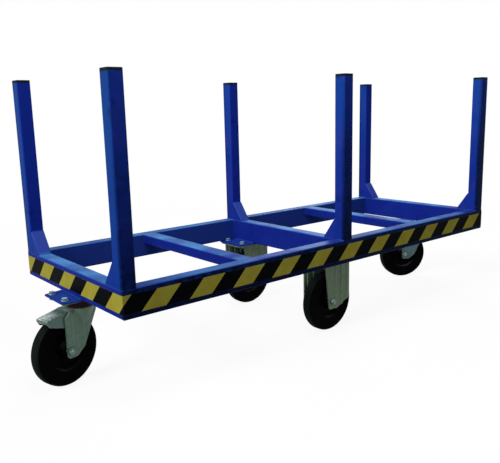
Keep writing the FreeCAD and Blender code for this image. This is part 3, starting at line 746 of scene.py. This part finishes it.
# Finishes by material slot
finishes = {
    "blue_paint": blue_paint(),
    "hazard_tape": hazard_tape(),
    "zinc_steel": plated_steel("plated_sheet", **fork_zinc, **sheet_wear),
    "pedal_steel": plated_steel("plated_pedal", dark=(0.045, 0.090, 0.080), light=(0.095, 0.165, 0.150),
                                worn=(0.62, 0.70, 0.67), wear_and_highlight=1.4, edge=0.003,
                                rough=(0.30, 0.45), metallic=0.4, worn_where=pressed_end),
    # on the bolts the bright colour on faces that look up is a painted highlight
    "fastener_steel": plated_steel("plated_fastener_highlit", dark=(0.05, 0.10, 0.14), light=(0.11, 0.19, 0.25),
                                   worn=(0.42, 0.62, 0.80), wear_and_highlight=1.6, edge=0.002,
                                   rough=(0.28, 0.42), metallic=0.4),
    "bearing_steel": plated_steel("ground_steel", dark=(0.30, 0.30, 0.30), light=(0.42, 0.42, 0.42),
                                  worn=(0.60, 0.60, 0.60), wear_and_highlight=0.2, edge=0.001,
                                  rough=(0.22, 0.34), metallic=1.0),
    "cap_plastic": moulded("cap_plastic", dark=(0.0040, 0.0085, 0.0120), light=(0.0080, 0.0160, 0.0215),
                           rough=(0.50, 0.65), specular=0.03, grain_scale=600.0, grain=0.15, dusty=0.08),
    "seal_plastic": moulded("seal_maroon", dark=(0.017, 0.004, 0.009), light=(0.034, 0.009, 0.018),
                            rough=(0.45, 0.60), specular=0.10, grain_scale=500.0, grain=0.12, dusty=0.08),
    "wheel_plastic": moulded("wheel_plastic", dark=(0.0006, 0.0005, 0.0007), light=(0.0014, 0.0012, 0.0016),
                             rough=(0.42, 0.55), specular=0.01, grain_scale=650.0, grain=0.12, dusty=0.30),
}


def castor_finishes():
    """Finishes of single nodes: each castor's tyre, its fork or bracket, and its axle bolt."""
    # the bright colour on the axle bolts' upward faces is a painted highlight
    axle_steel_highlit = plated_steel("plated_axle_bolt_highlit", dark=(0.07, 0.12, 0.11), light=(0.17, 0.27, 0.24),
                              worn=(0.75, 0.90, 0.85), wear_and_highlight=1.6, edge=0.002,
                              rough=(0.22, 0.34), metallic=0.4)
    sheets = {"left": ("fork_left", "plated_fork_left", fork_zinc),
              # the right fork gets the darker, bluer zinc of painted shade
              "right": ("fork_right", "plated_fork_right_shaded", shaded_zinc),
              "front": ("fixed_bracket_front", "plated_bracket_front", bracket_zinc),
              "back": ("fixed_bracket_back", "plated_bracket_back", bracket_zinc)}
    made = {}
    for name, wheel in wheels.items():
        carrier_node, finish_name, zinc = sheets[name]
        made[carrier_node] = plated_steel(finish_name, **zinc, **sheet_wear, wheel=wheel)
        made["tyre_" + name] = tyre_rubber(name)
        made["axle_bolt_" + name] = axle_steel_highlit
    return made


node_finishes = castor_finishes()


def dress_frame():
    """Gives every node of the frame its finish."""
    for part in frame["record"]["subparts"]:
        made = nodes[part["node"]]
        made.data.materials.clear()
        made.data.materials.append(node_finishes.get(part["node"]) or finishes[part["material_slot"]])


def soften_edges():
    """Rounds the sharp edges of fasteners, plates and pressed sheet, as made pieces have them."""
    widths = {"castor_bolts": fastener_edge, "axle_bolt": fastener_edge, "brake_pin": fastener_edge,
              "castor_pad": plate_edge, "fork": sheet_edge, "fixed_bracket": sheet_edge,
              "brake_pedal": sheet_edge, "gusset": sheet_edge}
    for name, made in nodes.items():
        width = next((width for key, width in widths.items() if name.startswith(key)), 0.0)
        if width == 0.0:
            continue
        weld = made.modifiers.new("joined_edges", "WELD")
        weld.merge_threshold = edge_weld
        bevel = made.modifiers.new("rounded_edges", "BEVEL")
        bevel.width = width
        bevel.segments = 2
        bevel.limit_method = "ANGLE"
        bevel.angle_limit = math.radians(edge_angle)
        bevel.harden_normals = True


# Mesh building blocks

def finished_mesh(name, mesh, body, slot):
    """Puts a bmesh into the scene as a piece that rides on a body."""
    data = bpy.data.meshes.new(name)
    bmesh.ops.recalc_face_normals(mesh, faces=mesh.faces)
    mesh.to_mesh(data)
    mesh.free()
    data.shade_smooth()
    piece = bpy.data.objects.new(name, data)
    bpy.context.scene.collection.objects.link(piece)
    data.materials.append(finishes[slot])
    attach(piece, body)


def skin_rings(mesh, rings):
    """Joins rings of vertices into a closed skin."""
    count = len(rings[0])
    for before, after in zip(rings, rings[1:]):
        for corner in range(count):
            following = (corner + 1) % count
            mesh.faces.new((before[corner], before[following], after[following], after[corner]))
    mesh.faces.new(reversed(rings[0]))
    mesh.faces.new(rings[-1])


def stations(points, step):
    """Even stations along a path of straight runs, each as (place, direction, distance)."""
    made = []
    travelled = 0.0
    for first, last in zip(points, points[1:]):
        run = last - first
        count = max(2, int(round(run.length / step)))
        for index in range(count):
            share = index / count
            made.append((first + run * share, run.normalized(), travelled + run.length * share))
        travelled += run.length
    made.append((points[-1], (points[-1] - points[-2]).normalized(), travelled))
    return made


def bead(mesh, points, radius):
    """Weld bead along a path: a rippled round with domed ends."""
    rings = []
    marks = stations([Vector(point) for point in points], bead_step)
    total = marks[-1][2]
    turns = [2 * math.pi * side / bead_sides for side in range(bead_sides)]
    for place, direction, distance in marks:
        upright = Vector((0, 0, 1)) if abs(direction.z) < steep else Vector((1, 0, 0))
        across = direction.cross(upright).normalized()
        upright = across.cross(direction)
        ripple = 1.0 + bead_ripple * math.sin(2 * math.pi * distance / bead_ripple_pitch)
        to_end = min(distance, total - distance) / radius
        dome = math.sqrt(max(bead_end, 1.0 - (1.0 - min(1.0, to_end)) ** 2))
        size = radius * ripple * dome
        ring = [place + across * size * math.cos(turn) + upright * size * math.sin(turn) for turn in turns]
        rings.append([mesh.verts.new(point) for point in ring])
    skin_rings(mesh, rings)


# Welds

def post_welds():
    """Beads round the foot of each post and along its gusset."""
    for row in ("front", "back"):
        for place in ("left", "mid", "right"):
            name = row + "_" + place
            mesh = bmesh.new()
            low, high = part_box("post_" + name)
            x_low = low.x + (bead_inset if place == "left" else 0.0)
            x_high = high.x - (bead_inset if place == "right" else 0.0)
            outward = -1.0 if row == "front" else 1.0
            outer = outward * (half_width - bead_inset)
            inner = outward * (half_width - tube_width)
            height = deck - bead_inset / 2
            corners = ((x_low, inner), (x_low, outer), (x_high, outer), (x_high, inner))
            bead(mesh, [(x, y, height) for x, y in corners], bead_radius)
            gusset_beads(mesh, name, inner)
            finished_mesh("weld_post_" + name, mesh, "frame", "blue_paint")


def gusset_beads(mesh, name, face):
    """Beads along the two cheeks, the toe and the top edge of one gusset."""
    low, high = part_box("gusset_" + name)
    toe = low.y if abs(low.y) < abs(high.y) else high.y
    seat = deck - bead_inset / 2
    for x in (low.x + bead_inset, high.x - bead_inset):
        bead(mesh, [(x, face, high.z - bead_radius), (x, face, seat)], bead_radius)
        bead(mesh, [(x, face, seat), (x, toe, seat)], bead_radius)
    edge = bead_radius * 2
    bead(mesh, [(low.x + edge, toe, deck), (high.x - edge, toe, deck)], bead_radius)
    bead(mesh, [(low.x + edge, face, high.z), (high.x - edge, face, high.z)], bead_radius)


def crossbar_welds():
    """Beads where each crossbar meets the long rails."""
    for name in ("crossbar_left", "center_crossbar", "crossbar_right"):
        low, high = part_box(name)
        top = high.z - bead_inset
        mesh = bmesh.new()
        for y in (low.y, high.y):
            path = [(low.x, y, low.z), (low.x, y, top), (high.x, y, top), (high.x, y, low.z)]
            bead(mesh, path, bead_radius)
        finished_mesh("weld_" + name, mesh, "frame", "blue_paint")


def pad_welds():
    """Beads along the tube on top of each castor pad."""
    tubes = {"left": "end_rail_left", "right": "end_rail_right",
             "front": "center_crossbar", "back": "center_crossbar"}
    for name, tube in tubes.items():
        low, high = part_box("castor_pad_" + name)
        tube_low, tube_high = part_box(tube)
        y_low = max(low.y, tube_low.y) + 2 * bead_radius
        y_high = min(high.y, tube_high.y) - 2 * bead_radius
        seat = high.z + bead_inset / 2
        mesh = bmesh.new()
        for x in (tube_low.x + bead_inset / 2, tube_high.x - bead_inset / 2):
            bead(mesh, [(x, y_low, seat), (x, y_high, seat)], pad_bead_radius)
        finished_mesh("weld_castor_pad_" + name, mesh, "frame", "blue_paint")


# Threads

def carrier(name):
    """The body that a node of the frame rides on."""
    bodies = frame["record"]["behaviour"]["bodies"]
    return next(body for body, members in bodies.items() if name in members)


def thread_coil(mesh, foot, direction, radius, length):
    """Ridge wound round a rod from its foot to its end."""
    across = direction.orthogonal().normalized()
    upright = direction.cross(across)
    half = direction * thread_half_width
    run = length - 2 * thread_half_width
    count = int(thread_steps * run / thread_pitch)
    rings = []
    for step in range(count + 1):
        turn = 2 * math.pi * step / thread_steps
        outward = across * math.cos(turn) + upright * math.sin(turn)
        place = foot + direction * (thread_half_width + run * step / count)
        sunk = place + outward * (radius - thread_height)
        crest = place + outward * (radius + thread_height)
        rings.append([mesh.verts.new(point) for point in (sunk - half, crest, sunk + half)])
    skin_rings(mesh, rings)


def axle_threads():
    """Thread on the bare end of each axle bolt, past its nut."""
    for name, wheel in wheels.items():
        bolt = "axle_bolt_" + name
        centre = Vector(wheel["pos_m"])
        axis = Vector(wheel["axis"]).normalized()
        offsets = [vertex.co - centre for vertex in nodes[bolt].data.vertices]
        if max(offset.dot(axis) for offset in offsets) < -min(offset.dot(axis) for offset in offsets):
            axis = -axis
        tip = max(offset.dot(axis) for offset in offsets)
        end_points = [offset for offset in offsets if tip - offset.dot(axis) < edge_weld]
        radius = max((offset - axis * tip).length for offset in end_points)
        nut_points = [offset for offset in offsets if offset.cross(axis).length > nut_reach * radius]
        nut_face = max(offset.dot(axis) for offset in nut_points)
        mesh = bmesh.new()
        thread_coil(mesh, centre + axis * nut_face, axis, radius, tip - nut_face)
        finished_mesh("thread_" + bolt, mesh, carrier(bolt), "fastener_steel")


# Studio

def photo_camera():
    """Camera at the place and angle of the photograph."""
    turn = math.radians(camera_azimuth)
    tilt = math.radians(camera_elevation)
    roll = math.radians(camera_roll)
    right = Vector((math.cos(turn), math.sin(turn), 0.0))
    ahead = Vector((-math.sin(turn), math.cos(turn), 0.0))
    forward = ahead * math.cos(tilt) - Vector((0.0, 0.0, math.sin(tilt)))
    down = forward.cross(right)
    level_right = right * math.cos(roll) - down * math.sin(roll)
    level_down = right * math.sin(roll) + down * math.cos(roll)
    aim = Vector((0.0, 0.0, deck)) - level_right * camera_side - level_down * camera_drop
    place = aim - forward * camera_depth
    data = bpy.data.cameras.new("photo_camera")
    data.sensor_width = sensor_width_mm
    data.lens = sensor_width_mm * focal_length_px / photo_width
    camera = bpy.data.objects.new("photo_camera", data)
    axes = Matrix((level_right, -level_down, -forward)).transposed().to_4x4()
    camera.matrix_world = Matrix.Translation(place) @ axes
    bpy.context.scene.collection.objects.link(camera)
    bpy.context.scene.camera = camera


def seen_rays(tree):
    """1 for rays that show a surface: straight from the camera, mirrored or through glass."""
    path = node(tree, "ShaderNodeLightPath").outputs
    seen = math_node(tree, "MAXIMUM", path["Is Camera Ray"], path["Is Glossy Ray"])
    return math_node(tree, "MAXIMUM", seen, path["Is Transmission Ray"])


def studio_sky():
    """White backdrop that lights the object at a plain level."""
    world = bpy.data.worlds.new("studio_sky")
    bpy.context.scene.world = world
    world.use_nodes = True
    tree = world.node_tree
    background = tree.nodes["Background"]
    seen = seen_rays(tree)
    tree.links.new(mix_color(tree, seen, sky_color, (1.0, 1.0, 1.0)), background.inputs["Color"])
    tree.links.new(spread(tree, seen, 0.0, 1.0, sky_level, 1.0), background.inputs["Strength"])


def studio_sun():
    """Broad soft key light from the upper left."""
    data = bpy.data.lights.new("key_light", "SUN")
    data.energy = sun_strength
    data.angle = math.radians(sun_spread)
    lamp = bpy.data.objects.new("key_light", data)
    lamp.rotation_euler = Vector(sun_from).to_track_quat("Z", "Y").to_euler()
    bpy.context.scene.collection.objects.link(lamp)


def soft_box(name, place, power):
    """Square soft box that looks at the middle of the deck."""
    data = bpy.data.lights.new(name, "AREA")
    data.energy = power
    data.size = lamp_size
    lamp = bpy.data.objects.new(name, data)
    lamp.location = place
    towards = Vector(place) - Vector((0.0, 0.0, deck))
    lamp.rotation_euler = towards.to_track_quat("Z", "Y").to_euler()
    bpy.context.scene.collection.objects.link(lamp)


def grey(level):
    """Even grey, from black at 0 to white at 1."""
    return level, level, level, 1.0


def floor_finish():
    """Near white where it is seen, and a plain grey for the light that it throws back."""
    material = bpy.data.materials.new("studio_floor")
    material.use_nodes = True
    tree = material.node_tree
    tree.nodes.remove(tree.nodes["Principled BSDF"])
    pale = node(tree, "ShaderNodeBsdfDiffuse", {"Color": grey(floor_pale)}).outputs[0]
    white = node(tree, "ShaderNodeEmission", {"Color": grey(1.0), "Strength": 1.0}).outputs[0]
    distance = vector_math(tree, "LENGTH", object_coords(tree))["Value"]
    whiter = spread(tree, distance, floor_near, floor_far, floor_white, 1.0)
    shown = node(tree, "ShaderNodeMixShader", {0: whiter, 1: pale, 2: white}).outputs[0]
    bounce = node(tree, "ShaderNodeBsdfDiffuse", {"Color": grey(floor_bounce)}).outputs[0]
    mixed = node(tree, "ShaderNodeMixShader", {0: seen_rays(tree), 1: bounce, 2: shown}).outputs[0]
    tree.links.new(mixed, tree.nodes["Material Output"].inputs["Surface"])
    return material


def studio_floor():
    """Pale floor that keeps the cart's soft shadow."""
    mesh = bmesh.new()
    bmesh.ops.create_grid(mesh, x_segments=1, y_segments=1, size=floor_size / 2)
    data = bpy.data.meshes.new("studio_floor")
    mesh.to_mesh(data)
    mesh.free()
    floor = bpy.data.objects.new("studio_floor", data)
    floor.location.z = cad_box[0].z
    bpy.context.scene.collection.objects.link(floor)
    data.materials.append(floor_finish())


dress_frame()
soften_edges()
post_welds()
crossbar_welds()
pad_welds()
axle_threads()
photo_camera()
studio_sky()
studio_sun()
soft_box("near_soft_box", near_lamp_place, near_lamp_power)
soft_box("far_soft_box", far_lamp_place, far_lamp_power)
studio_floor()
bpy.context.scene.view_settings.view_transform = "Standard"
